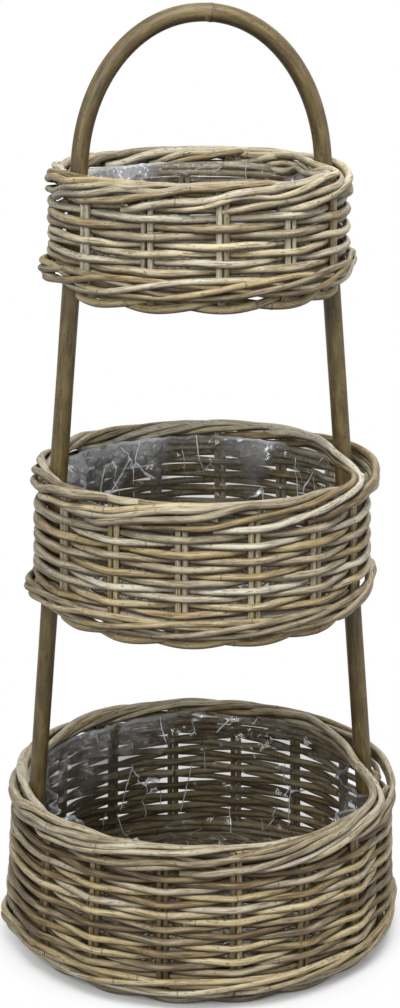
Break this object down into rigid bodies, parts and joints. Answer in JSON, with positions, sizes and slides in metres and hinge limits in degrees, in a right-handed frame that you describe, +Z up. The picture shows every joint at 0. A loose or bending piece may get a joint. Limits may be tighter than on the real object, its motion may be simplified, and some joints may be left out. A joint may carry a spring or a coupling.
{
  "type": "rattan tiered stand",
  "caption": "Free-standing tiered stand of round woven rattan baskets on one bent cane pole that arches over the top as a handle, each basket with a clear film liner.",
  "frame": {"origin": "on the floor, in the middle of the bottom basket", "axes": "+Z up; the bent pole stands in the XZ plane with its legs on -X and +X; the picture was taken from the -Y side"},
  "size_m": [0.4544, 0.4508, 1.0495],
  "materials": {
    "cane_pole": "satin bark of peeled cane",
    "rattan_weave": "matt grey rattan",
    "rattan_border": "matt grey rattan",
    "rattan_stakes": "matt brown rattan",
    "liner_film": "clear crinkled film",
    "nail_steel": "plain steel"
  },
  "bodies": {
    "root": {"hoop_pole": "cane_pole", "bottom_stakes": "rattan_stakes", "bottom_base_mat": "rattan_weave", "bottom_weaver_1": "rattan_weave", "bottom_foot_row_1": "rattan_weave", "bottom_wale_rod_1": "rattan_border", "bottom_weaver_2": "rattan_weave", "bottom_foot_row_2": "rattan_weave", "bottom_wale_rod_2": "rattan_border", "bottom_rim_rod_1": "rattan_border", "bottom_rim_rod_2": "rattan_border", "bottom_rim_rod_3": "rattan_border", "bottom_rim_rod_4": "rattan_border", "bottom_rim_rod_5": "rattan_border", "bottom_rim_rod_6": "rattan_border", "bottom_liner": "liner_film", "bottom_left_nail": "nail_steel", "bottom_right_nail": "nail_steel", "middle_stakes": "rattan_stakes", "middle_base_mat": "rattan_weave", "middle_weaver_1": "rattan_weave", "middle_foot_row_1": "rattan_weave", "middle_wale_rod_1": "rattan_border", "middle_weaver_2": "rattan_weave", "middle_foot_row_2": "rattan_weave", "middle_wale_rod_2": "rattan_border", "middle_rim_rod_1": "rattan_border", "middle_rim_rod_2": "rattan_border", "middle_rim_rod_3": "rattan_border", "middle_rim_rod_4": "rattan_border", "middle_rim_rod_5": "rattan_border", "middle_rim_rod_6": "rattan_border", "middle_liner": "liner_film", "middle_left_nail": "nail_steel", "middle_right_nail": "nail_steel", "top_stakes": "rattan_stakes", "top_base_mat": "rattan_weave", "top_weaver_1": "rattan_weave", "top_foot_row_1": "rattan_weave", "top_wale_rod_1": "rattan_border", "top_weaver_2": "rattan_weave", "top_foot_row_2": "rattan_weave", "top_wale_rod_2": "rattan_border", "top_rim_rod_1": "rattan_border", "top_rim_rod_2": "rattan_border", "top_rim_rod_3": "rattan_border", "top_rim_rod_4": "rattan_border", "top_rim_rod_5": "rattan_border", "top_rim_rod_6": "rattan_border", "top_liner": "liner_film", "top_left_nail": "nail_steel", "top_right_nail": "nail_steel"}
  },
  "joints": []
}
